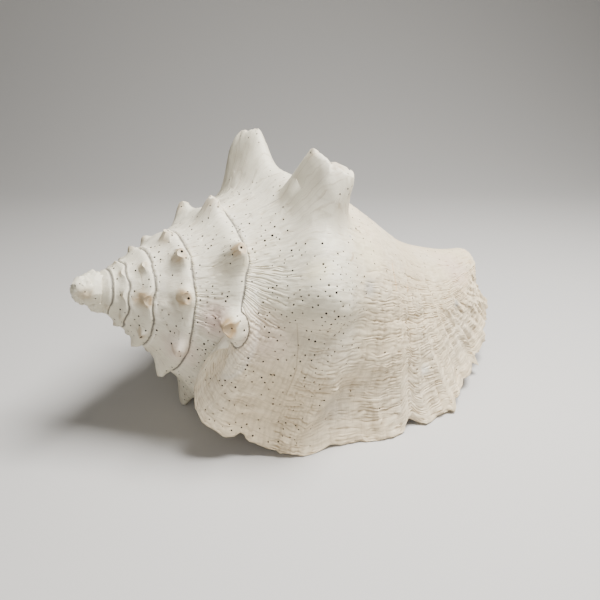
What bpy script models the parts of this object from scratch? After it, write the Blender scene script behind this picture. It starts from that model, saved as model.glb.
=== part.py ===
"""Queen conch shell, one natural solid, lying on the edge of its flared lip.

Lengths are millimetres until the mesh is made. A place on the shell is given by its turn, in degrees
round the coiling axis (0 on top, growing towards the front, 360 less for each older whorl), and by its
share, from 0 at the suture above the whorl to 1 at the canal.
"""

import bpy
import bmesh
import numpy as np

MM = 0.001

# The coiling axis starts at the apex, heads to the right and back, and dips towards the canal
APEX = np.array((-97.6, -59.9, 74.8))
HEADING = 28.8
DIP = 16.2
FOOTPRINT_MIDDLE = np.array((0.9, -16.1, 0.0))   # becomes the part's origin

# The suture and the row of spines are spirals that grow by these factors in each turn
SUTURE_GROWTH = 1.473
SUTURE_START, SUTURE_REACH, SUTURE_RADIUS = -3.0, 77.2, 62.5
SPINE_GROWTH = 1.58
SPINE_REACH, SPINE_RADIUS = 73.8, 76.2

# The last whorl ends in the canal, which bends up towards the back of the shell
CANAL_END = 210.0
BEND_START, BEND_HEIGHT = 150.0, 27.0
SHOULDER = 0.22            # share at which the sloping ramp turns into the body
APEX_TURN = -1900.0        # the whorls older than this are worn into the knob at the tip
FLARE_TURN = 50.0          # from here on the lip spreads out to its own edge
LIP_TURN = 135.0           # turn given to the lip's edge

# Body of a whorl below the shoulder: share of the way to the canal, and radius against the shoulder's
BODY_STEPS = (0.0, 0.11, 0.25, 0.40, 0.58, 0.78, 1.0)
YOUNG_BODY = (1.0, 0.98, 0.93, 0.84, 0.63, 0.36, 0.17)
LAST_BODY = (1.0, 0.985, 0.93, 0.82, 0.675, 0.52, 0.25)
BODY_CHANGE = (-200.0, 10.0)   # turns between which the body changes from the one to the other

# Edge of the lip from the spire round to the canal: share, and place in the shell's resting frame
LIP_EDGE = (
    (0.00, (-35.2, -75.0, 55.4)),
    (0.035, (-43.1, -75.0, 50.3)),
    (0.065, (-48.8, -74.6, 39.5)),
    (0.10, (-51.1, -75.4, 29.0)),
    (0.14, (-45.0, -79.5, 18.5)),
    (0.18, (-32.5, -77.5, 11.0)),
    (0.225, (-18.4, -76.6, 4.0)),
    (0.30, (-1.4, -76.5, 1.0)),
    (0.37, (16.2, -68.0, 1.1)),
    (0.46, (38.2, -62.5, 0.8)),
    (0.54, (58.0, -49.4, 1.5)),
    (0.60, (71.6, -38.4, 3.2)),
    (0.67, (82.1, -18.6, 7.5)),
    (0.74, (95.0, 4.7, 10.0)),
    (0.82, (103.5, 24.9, 18.0)),
    (0.88, (106.0, 31.6, 24.0)),
    (0.94, (101.6, 37.2, 31.0)),
    (1.00, (98.0, 44.0, 38.0)),
)
LIP_LIFT_STEPS = (0.0, 0.05, 0.1, 0.2, 0.3, 0.4, 0.7, 0.9, 1.0)
LIP_LIFT = (-0.5, -0.2, 0.1, 0.3, 0.4, 0.5, 0.7, 0.7, 0.5)   # how far the lip turns outwards at its edge

# The two big spines of the last whorl have two crests each: turn, reach and radius of the tip, share of
# its foot, and half widths of the foot towards the older side, towards the lip and along the axis
BIG_SPINES = (
    (-20.0, 72.5, 86.0, 0.20, 25.0, 26.0, 24.0),
    (-27.0, 68.0, 83.5, 0.20, 18.0, 20.0, 15.0),
    (25.0, 75.5, 92.0, 0.20, 13.0, 21.0, 17.0),
    (28.5, 85.5, 89.0, 0.24, 14.0, 20.0, 17.0),
)
# Spines of ordinary size: turn, extra height of the tip, shift of the tip along the axis
SMALL_SPINES = (
    (-66.0, 0.0, 0.0), (-102.0, 1.0, 0.0), (-138.0, 5.0, 0.0), (-173.0, 0.5, 0.0),
    (-274.6, -0.8, -7.2), (-313.0, 0.0, 0.0), (-355.0, 1.0, 0.0), (-393.0, 1.0, 0.0), (-431.0, 0.0, 0.0),
    (-470.0, 0.0, 0.0), (-514.0, 0.0, 0.0), (-558.0, 0.5, 0.0), (-604.0, 0.0, 0.0), (-647.0, 1.8, 0.0),
    (-681.0, 2.3, 0.0), (-715.0, 0.0, 0.0), (-766.0, 0.0, 0.0), (-805.0, 0.0, 0.0), (-845.0, 0.0, 0.0),
    (-880.0, 0.0, 0.0), (-917.0, 0.6, 0.0), (-953.0, 0.8, 0.0), (-999.0, 0.6, 0.0), (-1043.0, 0.8, 0.0),
    (-1100.0, 0.5, 0.0), (-1138.0, 0.6, 0.0),
)
OLDEST_SPINES = range(-1180, -1720, -45)
SPINE_WIDTH, SPINE_LENGTH = 16.0, 18.0     # half widths of an ordinary spine's foot at turn 0
BIG_BLUNTNESS, SMALL_BLUNTNESS = 2.8, 2.5
SPINE_FOOT = 0.195
FORWARD_FOOT = 0.6          # length of a spine's foot on the canal side, against the side of the apex

# Low swellings where the row of spines runs out over the lip: turn, height, half width
SWELLINGS = ((72.0, 4.5, 15.0), (106.0, 3.0, 13.0))

# Wall and hollow
WALL, LIP_THICKNESS = 4.6, 3.4
HOLLOW_START = (-200.0, -90.0)    # turns between which the mouth's hollow opens out
AXIS_CLEARANCE = 0.3
COLUMELLA = ((60.0, 15.0), (130.0, 14.0), (165.0, 10.0), (190.0, 7.5), (212.0, 5.0))   # reach, radius

# Knob of worn whorls at the tip: reach along the axis, sideways, upwards, radius
KNOB = ((3.5, 0.0, 0.0, 8.2), (-1.0, 3.5, 1.0, 5.0), (0.5, -2.5, -3.0, 5.2), (6.0, 2.0, -6.0, 4.2))

# Mesh
ROW_STEP = 4.0
COLUMNS = 88
LIP_ROWS = 30
VOXEL = 1.4
SMOOTH_FACTOR, SMOOTH_REPEATS = 0.5, 1
TRIANGLES = 8000

heading, dip = np.radians(HEADING), np.radians(DIP)
ALONG = np.array((np.cos(dip) * np.cos(heading), np.cos(dip) * np.sin(heading), -np.sin(dip)))
UP = np.array((0.0, 0.0, 1.0)) - ALONG[2] * ALONG
UP /= np.linalg.norm(UP)
FRONT = np.cross(ALONG, UP)


def spline(knots, values, at):
    """Natural cubic spline through the values at the knots."""
    knots, values, at = np.asarray(knots, float), np.asarray(values, float), np.asarray(at, float)
    count, gaps = len(knots), np.diff(knots)
    slopes = np.diff(values, axis=0) / gaps.reshape((-1,) + (1,) * (values.ndim - 1))
    matrix, right = np.eye(count), np.zeros_like(values)
    for i in range(1, count - 1):
        matrix[i, i - 1:i + 2] = gaps[i - 1], 2 * (gaps[i - 1] + gaps[i]), gaps[i]
        right[i] = 6 * (slopes[i] - slopes[i - 1])
    bends = np.linalg.solve(matrix, right.reshape(count, -1)).reshape(values.shape)
    i = np.clip(np.searchsorted(knots, at) - 1, 0, count - 2)
    shape = at.shape + (1,) * (values.ndim - 1)
    gap = gaps[i].reshape(shape)
    a, b = (knots[i + 1] - at).reshape(shape) / gap, (at - knots[i]).reshape(shape) / gap
    curve = ((a ** 3 - a) * bends[i] + (b ** 3 - b) * bends[i + 1]) * gap ** 2 / 6
    return a * values[i] + b * values[i + 1] + curve


def ease(low, high, value):
    """0 below low, 1 above high, and a smooth step between them."""
    t = np.clip((np.asarray(value, float) - low) / (high - low), 0, 1)
    return t * t * (3 - 2 * t)


def unit(vectors):
    return vectors / (np.linalg.norm(vectors, axis=-1, keepdims=True) + 1e-12)


def canal_bend(reach):
    return BEND_HEIGHT * np.clip((reach - BEND_START) / (CANAL_END - BEND_START), 0, 1.3) ** 2


def around(reach, radius, turn):
    """Point of the shell's own frame at a reach along the axis, a radius and a turn."""
    angle = np.radians(turn)
    return np.stack((reach, radius * np.sin(angle), radius * np.cos(angle) + canal_bend(reach)), -1)


def to_rest(points):
    """Shell's own frame to the frame in which it rests."""
    return APEX - FOOTPRINT_MIDDLE + points[..., 0:1] * ALONG + points[..., 1:2] * FRONT + points[..., 2:3] * UP


def to_shell(points):
    away = np.asarray(points, float) - APEX
    return np.stack((away @ ALONG, away @ FRONT, away @ UP), -1)


def suture(turn):
    size = SUTURE_GROWTH ** (turn / 360)
    return SUTURE_START + SUTURE_REACH * size, SUTURE_RADIUS * size


def whorl_outline(turn, shares):
    """Reach and radius of the whorl's outer wall at one turn: concave ramp, shoulder, tapering body."""
    (x0, r0), (x1, r1) = suture(turn - 360), suture(turn)
    length = np.hypot(x1 - x0, r1 - r0)
    inward = np.array((r1 - r0, x0 - x1)) / length
    start, end = np.array((x0, r0)), np.array((x1, r1))
    last = ease(*BODY_CHANGE, turn)
    tip = CANAL_END * min(1.0, SUTURE_GROWTH ** ((turn + 160) / 360))
    knots = [0.0, 0.07, 0.15, SHOULDER]
    points = [
        start + length * np.array((-0.03, -0.03)),
        start + 0.33 * (end - start) + 0.055 * length * inward,
        start + 0.70 * (end - start) + 0.025 * length * inward,
        end + length * np.array((0.02, 0.05)),
    ]
    for step, young, late in list(zip(BODY_STEPS, YOUNG_BODY, LAST_BODY))[1:]:
        knots.append(SHOULDER + (1 - SHOULDER) * step)
        radius = (r1 + 0.04 * length) * (young + (late - young) * last)
        points.append((x1 + (tip - x1) * step, radius))
    return spline(knots, np.array(points), shares)


def outer_wall():
    """Grid of points on the plain whorls and the flared lip, with each row's turn."""
    shares = np.linspace(0, 1, COLUMNS)
    turns = np.arange(APEX_TURN, FLARE_TURN + ROW_STEP / 2, ROW_STEP)
    turns += FLARE_TURN - turns[-1]
    rows = []
    for turn in turns:
        outline = whorl_outline(turn, shares)
        rows.append(around(outline[:, 0], outline[:, 1], turn))
    start, heading_out = rows[-1], unit(rows[-1] - rows[-2])
    edge = spline([s for s, _ in LIP_EDGE], to_shell([p for _, p in LIP_EDGE]), shares)
    span = np.linalg.norm(edge - start, axis=1)[:, None]
    outward = edge.copy()
    outward[:, 0] = 0
    outward[:, 2] -= canal_bend(edge[:, 0])
    lift = np.interp(shares, LIP_LIFT_STEPS, LIP_LIFT)[:, None]
    arrive = unit((edge - start) / span + lift * unit(outward)) * span
    leave = heading_out * span * 1.1
    lip_turns = np.linspace(FLARE_TURN, LIP_TURN, LIP_ROWS + 1)[1:]
    for turn in lip_turns:
        v = (turn - FLARE_TURN) / (LIP_TURN - FLARE_TURN)
        rows.append((2 * v ** 3 - 3 * v ** 2 + 1) * start + (v ** 3 - 2 * v ** 2 + v) * leave
                    + (3 * v ** 2 - 2 * v ** 3) * edge + (v ** 3 - v ** 2) * arrive)
    return np.array(rows), np.concatenate((turns, lip_turns)), shares


def outward_normals(grid):
    return unit(np.cross(np.gradient(grid, axis=1), np.gradient(grid, axis=0)))


def all_spines():
    """Every spine in the form of the big ones, with its bluntness."""
    spines = [(*spine, BIG_BLUNTNESS) for spine in BIG_SPINES]
    for turn, height, shift in SMALL_SPINES + tuple((turn, 0.4, 0.0) for turn in OLDEST_SPINES):
        growth, size = SPINE_GROWTH ** (turn / 360), SUTURE_GROWTH ** (turn / 360)
        reach, radius = SPINE_REACH * growth + shift, SPINE_RADIUS * growth + height
        width, length = SPINE_WIDTH * size, SPINE_LENGTH * size
        spines.append((turn, reach, radius, SPINE_FOOT, width, width, length, SMALL_BLUNTNESS))
    return spines


def raise_spines(grid, turns, shares):
    """Draw the wall out to the tip of each spine; where two feet meet, the nearer tip wins."""
    across = np.cumsum(np.linalg.norm(np.diff(grid, axis=1, prepend=grid[:, :1]), axis=2), axis=1)
    pull, weight = np.zeros_like(grid), np.full(grid.shape[:2], 1e-6)
    for turn, reach, radius, share, width_back, width_front, length, bluntness in all_spines():
        tip = around(np.array(reach), np.array(radius), turn)
        row, column = np.argmin(np.abs(turns - turn)), np.argmin(np.abs(shares - share))
        foot = grid[row, column]
        round_way = np.radians(turns - turn)[:, None] * np.hypot(foot[1], foot[2])
        round_way = round_way / np.where(round_way < 0, width_back, width_front)
        along_way = across - across[:, column:column + 1]
        along_way = along_way / np.where(along_way < 0, length, FORWARD_FOOT * length)
        distance = np.hypot(round_way, along_way)
        bell = np.where(np.abs(turns - turn)[:, None] < 60, np.exp(-(distance / 0.62) ** bluntness), 0)
        pull += (bell ** 3)[..., None] * (tip - foot)
        weight += bell ** 2
    return grid + pull / weight[..., None]


def raise_swellings(grid, normals, turns, shares):
    across = np.cumsum(np.linalg.norm(np.diff(grid, axis=1, prepend=grid[:, :1]), axis=2), axis=1)
    column = np.argmin(np.abs(shares - SHOULDER))
    for turn, height, width in SWELLINGS:
        row = np.argmin(np.abs(turns - turn))
        round_way = np.linalg.norm(grid[:, column] - grid[row, column], axis=1)[:, None]
        near = np.abs(turns - turn)[:, None] < 60
        reach = np.hypot(round_way, across - across[:, column:column + 1]) / width
        grid = grid + (height * near * np.exp(-reach ** 2))[..., None] * normals
    return grid


def inner_wall(grid, normals, turns):
    """Inside of the wall, which closes in to the axis where the shell is filled."""
    wall = np.interp(turns, (FLARE_TURN, LIP_TURN), (WALL, LIP_THICKNESS))[:, None, None]
    inside = grid - wall * normals
    axis = np.stack(np.broadcast_arrays(grid[..., 0], 0.0, canal_bend(grid[..., 0])), -1)
    away = unit(grid - axis) * AXIS_CLEARANCE
    hollow = ease(*HOLLOW_START, turns)[:, None, None]
    return (axis + away) * (1 - hollow) + inside * hollow


def loft_whorls():
    """Closed skin swept from the apex to the lip: each ring runs down the outer wall and back up the inner."""
    plain, turns, shares = outer_wall()
    normals = outward_normals(plain)
    outer = raise_swellings(raise_spines(plain, turns, shares), normals, turns, shares)
    inner = inner_wall(plain, normals, turns)
    rings = np.concatenate((outer, inner[:, ::-1]), axis=1)
    count, ring = len(rings), rings.shape[1]
    points = np.concatenate((rings.reshape(-1, 3), rings[0].mean(0)[None]))
    faces = []
    for i in range(count - 1):
        for j in range(ring):
            k = (j + 1) % ring
            faces.append((i * ring + j, i * ring + k, (i + 1) * ring + k, (i + 1) * ring + j))
    faces += [(count * ring, (j + 1) % ring, j) for j in range(ring)]
    last = (count - 1) * ring
    faces += [(last + j, last + j + 1, last + ring - 2 - j, last + ring - 1 - j) for j in range(COLUMNS - 1)]
    mesh = bpy.data.meshes.new("whorls")
    mesh.from_pydata(to_rest(points) * MM, [], faces)
    return mesh


def columella_tube():
    """Pillar along the bent axis."""
    curve = bpy.data.curves.new("columella", "CURVE")
    curve.dimensions = "3D"
    curve.bevel_depth = MM
    curve.bevel_resolution = 6
    curve.use_fill_caps = True
    reaches = np.linspace(COLUMELLA[0][0], COLUMELLA[-1][0], 24)
    radii = spline([reach for reach, _ in COLUMELLA], [radius for _, radius in COLUMELLA], reaches)
    path = to_rest(around(reaches, np.zeros_like(reaches), 0.0)) * MM
    line = curve.splines.new("POLY")
    line.points.add(len(path) - 1)
    for point, place, radius in zip(line.points, path, radii):
        point.co = (*place, 1)
        point.radius = radius
    tube = bpy.data.objects.new("columella", curve)
    bpy.context.scene.collection.objects.link(tube)
    mesh = bpy.data.meshes.new_from_object(tube.evaluated_get(bpy.context.evaluated_depsgraph_get()))
    bpy.data.objects.remove(tube)
    return mesh


def shell_mesh():
    """Whorls, columella and knob as overlapping closed skins in one mesh."""
    whole = bmesh.new()
    for mesh in (loft_whorls(), columella_tube()):
        whole.from_mesh(mesh)
        bpy.data.meshes.remove(mesh)
    for reach, front, up, radius in KNOB:
        made = bmesh.ops.create_uvsphere(whole, u_segments=24, v_segments=16, radius=radius * MM)
        place = to_rest(np.array((reach, front, up))) * MM
        bmesh.ops.translate(whole, verts=made["verts"], vec=place)
    bmesh.ops.remove_doubles(whole, verts=whole.verts, dist=0.001 * MM)
    bmesh.ops.recalc_face_normals(whole, faces=whole.faces)
    mesh = bpy.data.meshes.new("skins")
    whole.to_mesh(mesh)
    whole.free()
    return mesh


def fuse(obj):
    """One skin out of the overlapping ones, thinned to the wanted number of triangles."""
    remesh = obj.modifiers.new("union", "REMESH")
    remesh.mode = "VOXEL"
    remesh.voxel_size = VOXEL * MM
    smooth = obj.modifiers.new("soften", "SMOOTH")
    smooth.factor, smooth.iterations = SMOOTH_FACTOR, SMOOTH_REPEATS
    fine = bpy.data.meshes.new_from_object(obj.evaluated_get(bpy.context.evaluated_depsgraph_get()))
    triangles = sum(len(face.vertices) - 2 for face in fine.polygons)
    bpy.data.meshes.remove(fine)
    thin = obj.modifiers.new("thin", "DECIMATE")
    thin.ratio = TRIANGLES / triangles
    thin.use_collapse_triangulate = True
    mesh = bpy.data.meshes.new_from_object(obj.evaluated_get(bpy.context.evaluated_depsgraph_get()))
    obj.modifiers.clear()
    obj.data = mesh


def wear_flat(mesh):
    """The places that the shell rests on are worn flat."""
    solid = bmesh.new()
    solid.from_mesh(mesh)
    for vert in solid.verts:
        vert.co.z = max(vert.co.z, 0.0)
    bmesh.ops.triangulate(solid, faces=solid.faces)
    bmesh.ops.dissolve_degenerate(solid, edges=solid.edges, dist=0.02 * MM)
    solid.to_mesh(mesh)
    solid.free()


def shell_material():
    material = bpy.data.materials.new("bleached shell")
    material.use_nodes = True
    surface = material.node_tree.nodes["Principled BSDF"]
    surface.inputs["Base Color"].default_value = (0.72, 0.67, 0.60, 1)
    surface.inputs["Roughness"].default_value = 0.62
    surface.inputs["Metallic"].default_value = 0.0
    return material


for old in list(bpy.data.objects):
    bpy.data.objects.remove(old)

shell = bpy.data.objects.new("conch_shell", shell_mesh())
collection = bpy.data.collections.new("queen_conch_shell")
bpy.context.scene.collection.children.link(collection)
collection.objects.link(shell)
fuse(shell)
wear_flat(shell.data)
shell.data.name = "conch_shell"
shell.data.materials.append(shell_material())
shell.data.shade_smooth()
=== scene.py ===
import math
from functools import partial
import bmesh
import bpy
import numpy as np
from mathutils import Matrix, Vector
from mathutils.bvhtree import BVHTree
from mathutils.kdtree import KDTree


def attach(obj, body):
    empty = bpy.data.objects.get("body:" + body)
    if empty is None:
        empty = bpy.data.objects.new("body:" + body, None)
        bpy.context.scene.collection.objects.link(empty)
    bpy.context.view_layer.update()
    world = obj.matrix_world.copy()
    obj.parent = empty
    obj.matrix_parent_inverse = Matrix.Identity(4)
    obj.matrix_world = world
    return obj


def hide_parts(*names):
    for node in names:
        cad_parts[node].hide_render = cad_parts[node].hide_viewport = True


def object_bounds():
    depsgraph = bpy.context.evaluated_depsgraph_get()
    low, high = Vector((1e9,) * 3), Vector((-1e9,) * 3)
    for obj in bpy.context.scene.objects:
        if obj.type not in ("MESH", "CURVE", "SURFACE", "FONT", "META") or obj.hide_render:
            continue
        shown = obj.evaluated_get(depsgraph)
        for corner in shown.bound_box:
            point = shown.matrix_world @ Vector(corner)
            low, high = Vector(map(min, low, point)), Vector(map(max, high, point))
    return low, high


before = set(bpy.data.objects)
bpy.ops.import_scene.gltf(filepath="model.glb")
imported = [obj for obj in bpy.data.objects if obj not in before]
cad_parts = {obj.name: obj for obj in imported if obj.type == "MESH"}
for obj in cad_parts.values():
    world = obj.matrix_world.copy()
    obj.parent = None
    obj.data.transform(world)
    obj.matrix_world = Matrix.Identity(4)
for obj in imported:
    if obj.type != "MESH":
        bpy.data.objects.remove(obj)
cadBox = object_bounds()
mm = 0.001

# how the shell coils; lengths in mm, turns in degrees round the axis
coil = {
    "apex": (-97.6, -59.9, 74.8),
    "heading": 28.8,
    "dip": 16.2,
    "footprintMiddle": (0.9, -16.1, 0.0),
    "sutureGrowth": 1.473,        # the suture's size is multiplied by this in each turn
    "sutureStart": -3.0,
    "sutureReach": 77.2,
    "sutureRadius": 62.5,
    "spineGrowth": 1.58,
    "spineReach": 73.8,
    "spineRadius": 76.2,
    "canalEnd": 210.0,
    "bendStart": 150.0,
    "bendHeight": 27.0,
    "shoulder": 0.22,             # share of the section at which the ramp turns into the body
    "apexTurn": -1900.0,
    "fullLengthTurn": -160.0,     # from this turn on a whorl reaches the canal's end
    # the ramp: its knots, its start under the whorl above, and how far across and how hollow it is
    "rampKnots": (0.0, 0.07, 0.15),
    "tuck": (-0.03, -0.08),
    "ramp": ((0.33, 0.055), (0.70, 0.025)),
    "shoulderForward": 0.02,
    "shoulderRise": 0.05,
    "youngDrop": 0.01,
    # the body: its steps to the canal, and the radius there on young whorls and on the last one
    "bodySteps": (0.0, 0.11, 0.25, 0.40, 0.58, 0.78, 1.0),
    "youngBody": (1.0, 0.98, 0.93, 0.84, 0.63, 0.36, 0.17),
    "lastBody": (1.0, 0.985, 0.93, 0.82, 0.675, 0.52, 0.25),
    "bodyChange": (-200.0, 10.0),
    "rowSteps": ((-1900, 6.0), (-1100, 3.0), (-720, 1.5), (-360, 0.7)),   # from this turn on, one row each
    "columns": ((0.0, 0), (0.12, 50), (0.28, 140), (1.0, 270)),
    "innerColumns": 72,
}

heading, dip = math.radians(coil["heading"]), math.radians(coil["dip"])
along = np.array((math.cos(dip) * math.cos(heading), math.cos(dip) * math.sin(heading), -math.sin(dip)))
upward = np.array((0.0, 0.0, 1.0)) - along[2] * along
upward /= np.linalg.norm(upward)
front = np.cross(along, upward)
apex = np.array(coil["apex"]) - np.array(coil["footprintMiddle"])


def spline(knots, values, at):
    knots, values, at = np.asarray(knots, float), np.asarray(values, float), np.asarray(at, float)
    count, gaps = len(knots), np.diff(knots)
    slopes = np.diff(values, axis=0) / gaps.reshape((-1,) + (1,) * (values.ndim - 1))
    matrix, right = np.eye(count), np.zeros_like(values)
    for i in range(1, count - 1):
        matrix[i, i - 1:i + 2] = gaps[i - 1], 2 * (gaps[i - 1] + gaps[i]), gaps[i]
        right[i] = 6 * (slopes[i] - slopes[i - 1])
    bends = np.linalg.solve(matrix, right.reshape(count, -1)).reshape(values.shape)
    i = np.clip(np.searchsorted(knots, at) - 1, 0, count - 2)
    shape = at.shape + (1,) * (values.ndim - 1)
    gap = gaps[i].reshape(shape)
    a, b = (knots[i + 1] - at).reshape(shape) / gap, (at - knots[i]).reshape(shape) / gap
    bent = ((a ** 3 - a) * bends[i] + (b ** 3 - b) * bends[i + 1]) * gap ** 2 / 6
    return a * values[i] + b * values[i + 1] + bent


def ease(low, high, value):
    t = np.clip((np.asarray(value, float) - low) / (high - low), 0, 1)
    return t * t * (3 - 2 * t)


def unit(vectors):
    return vectors / (np.linalg.norm(vectors, axis=-1, keepdims=True) + 1e-12)


def canalBend(reach):
    part = (reach - coil["bendStart"]) / (coil["canalEnd"] - coil["bendStart"])
    return coil["bendHeight"] * np.clip(part, 0, 1.3) ** 2


def around(reach, radius, turn):
    angle = np.radians(turn)
    return np.stack((reach, radius * np.sin(angle), radius * np.cos(angle) + canalBend(reach)), -1)


def toRest(points):
    return apex + points[..., 0:1] * along + points[..., 1:2] * front + points[..., 2:3] * upward


def toShell(points):
    away = np.asarray(points, float) - np.array(coil["apex"])
    return np.stack((away @ along, away @ front, away @ upward), -1)


def suture(turn):
    size = coil["sutureGrowth"] ** (turn / 360)
    return coil["sutureStart"] + coil["sutureReach"] * size, coil["sutureRadius"] * size


def whorlOutline(turn, shares):
    # reach and radius of one whorl's outside, from the suture over the ramp to the canal
    (x0, r0), (x1, r1) = suture(turn - 360), suture(turn)
    length = np.hypot(x1 - x0, r1 - r0)
    inward = np.array((r1 - r0, x0 - x1)) / length
    start, end = np.array((x0, r0)), np.array((x1, r1))
    last = ease(*coil["bodyChange"], turn)
    tip = coil["canalEnd"] * min(1.0, coil["sutureGrowth"] ** ((turn - coil["fullLengthTurn"]) / 360))
    rise, drop = coil["shoulderRise"], coil["youngDrop"]
    knots = [*coil["rampKnots"], coil["shoulder"]]
    points = [start + length * np.array(coil["tuck"])]
    points += [start + part * (end - start) + hollow * length * inward for part, hollow in coil["ramp"]]
    points.append(end + length * np.array((coil["shoulderForward"], rise * last - drop * (1 - last))))
    for step, young, late in list(zip(coil["bodySteps"], coil["youngBody"], coil["lastBody"]))[1:]:
        knots.append(coil["shoulder"] + (1 - coil["shoulder"]) * step)
        radius = (r1 + (rise * last - drop) * length) * (young + (late - young) * last)
        points.append((x1 + (tip - x1) * step, radius))
    return spline(knots, np.array(points), shares)


def gridQuads(count, wide, closed=False):
    # four corners of each cell between rows and columns of points
    i, j = np.meshgrid(np.arange(count - 1), np.arange(wide if closed else wide - 1), indexing="ij")
    k = (j + 1) % wide
    quads = np.stack((i * wide + j, i * wide + k, (i + 1) * wide + k, (i + 1) * wide + j), -1)
    return quads.reshape(-1, 4).tolist()


# flared lip; the edge as share of the section and place in the resting frame
lip = {
    "flareTurn": 50.0,
    "lipTurn": 135.0,
    "rows": 250,
    "edge": (
        (0.00, (-35.2, -75.0, 55.4)), (0.035, (-43.1, -75.0, 50.3)), (0.065, (-48.8, -74.6, 39.5)),
        (0.10, (-51.1, -75.4, 29.0)), (0.14, (-45.0, -79.5, 18.5)), (0.18, (-32.5, -77.5, 11.0)),
        (0.225, (-18.4, -76.6, 4.0)), (0.30, (-1.4, -76.5, 1.0)), (0.37, (16.2, -68.0, 1.1)),
        (0.46, (38.2, -62.5, 0.8)), (0.54, (58.0, -49.4, 1.5)), (0.60, (71.6, -38.4, 3.2)),
        (0.67, (82.1, -18.6, 7.5)), (0.74, (95.0, 4.7, 10.0)), (0.82, (102.8, 24.9, 18.0)),
        (0.88, (104.8, 31.6, 24.0)), (0.94, (101.0, 37.0, 31.0)), (1.00, (98.0, 44.0, 38.0)),
    ),
    # how the flare arrives at its edge: outwards where more than 0
    "liftSteps": (0.0, 0.05, 0.1, 0.2, 0.3, 0.4, 0.7, 0.9, 1.0),
    "lift": (-0.5, -0.2, 0.1, 0.3, 0.4, 0.5, 0.7, 0.7, 0.5),
    # turn, height and width in mm
    "swellings": ((72.0, 4.5, 15.0), (106.0, 3.0, 13.0)),
    # share, half width in share, and how much of the edge is gone there in mm (less than 0 stands out)
    "chips": (
        (0.165, 0.010, -1.6), (0.182, 0.006, 2.6), (0.262, 0.020, 0.8), (0.335, 0.012, 1.2),
        (0.415, 0.022, -0.8), (0.472, 0.008, 0.6), (0.503, 0.013, 6.5), (0.545, 0.012, -0.9),
        (0.592, 0.004, -2.4), (0.606, 0.006, 1.2), (0.655, 0.010, 1.4), (0.700, 0.008, 1.6),
        (0.716, 0.0045, -4.2), (0.729, 0.005, 2.2), (0.80, 0.012, 0.9), (0.915, 0.02, 1.2),
        (0.975, 0.008, 1.8),
    ),
    "chipSquareness": 2.6,
    # crumbs of the edge: size and depth in mm, and how strong they all are
    "crumbs": ((7.0, 0.5), (3.0, 0.3), (1.5, 0.2)),
    "crumble": 13 / 9,
    "edgeLength": 300.0,          # mm along the edge, about
    "lookBack": 4.0,              # degrees over which the flare's first heading is taken
    "leave": 1.1,                 # how strongly the flare keeps that heading
    "seed": 11,
}


def lipReach(shares, span):
    # how far each column of the lip grows, as a part of the way to the plain edge, with chips and crumbs gone
    rng = np.random.default_rng(lip["seed"])
    gone = np.zeros_like(shares)
    for share, width, depth in lip["chips"]:
        gone += depth * np.exp(-np.abs((shares - share) / width) ** lip["chipSquareness"])
    at = shares * lip["edgeLength"]
    for size, height in lip["crumbs"]:
        knots = np.arange(-1, lip["edgeLength"] / size + 2)
        gone += lip["crumble"] * height * np.interp(at / size, knots, rng.uniform(-1, 1, len(knots)))
    return 1 - gone / span


def outerWall():
    counts = coil["columns"]
    shares = np.interp(np.arange(counts[-1][1] + 1), [c for _, c in counts], [s for s, _ in counts])
    starts = [s for s, _ in coil["rowSteps"]] + [lip["flareTurn"]]
    turns = np.concatenate([np.arange(a, b, step) for (a, step), b in zip(coil["rowSteps"], starts[1:])])
    turns = np.append(turns, lip["flareTurn"])
    rows = []
    for turn in turns:
        outline = whorlOutline(turn, shares)
        rows.append(around(outline[:, 0], outline[:, 1], turn))
    # the flare runs on from the last whorl and bends to its own edge
    start, earlier = rows[-1], lip["flareTurn"] - lip["lookBack"]
    before = whorlOutline(earlier, shares)
    headingOut = unit(start - around(before[:, 0], before[:, 1], earlier))
    edge = spline([s for s, _ in lip["edge"]], toShell([p for _, p in lip["edge"]]), shares)
    span = np.linalg.norm(edge - start, axis=1)[:, None]
    outward = edge.copy()
    outward[:, 0] = 0
    outward[:, 2] -= canalBend(edge[:, 0])
    lift = np.interp(shares, lip["liftSteps"], lip["lift"])[:, None]
    arrive = unit((edge - start) / span + lift * unit(outward)) * span
    leave = headingOut * span * lip["leave"]
    grown = lipReach(shares, span[:, 0])
    growth = np.broadcast_to(turns[:, None], (len(turns), len(shares))).copy()
    for part in np.linspace(0, 1, lip["rows"] + 1)[1:]:
        v = (part * grown)[:, None]
        rows.append((2 * v ** 3 - 3 * v ** 2 + 1) * start + (v ** 3 - 2 * v ** 2 + v) * leave
                    + (3 * v ** 2 - 2 * v ** 3) * edge + (v ** 3 - v ** 2) * arrive)
        growth = np.vstack((growth, lip["flareTurn"] + v[:, 0] * (lip["lipTurn"] - lip["flareTurn"])))
    lipTurns = np.linspace(lip["flareTurn"], lip["lipTurn"], lip["rows"] + 1)[1:]
    return np.array(rows), np.concatenate((turns, lipTurns)), shares, growth


def outwardNormals(grid):
    return unit(np.cross(np.gradient(grid, axis=1), np.gradient(grid, axis=0)))


def acrossWay(grid):
    return np.cumsum(np.linalg.norm(np.diff(grid, axis=1, prepend=grid[:, :1]), axis=2), axis=1)


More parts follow.
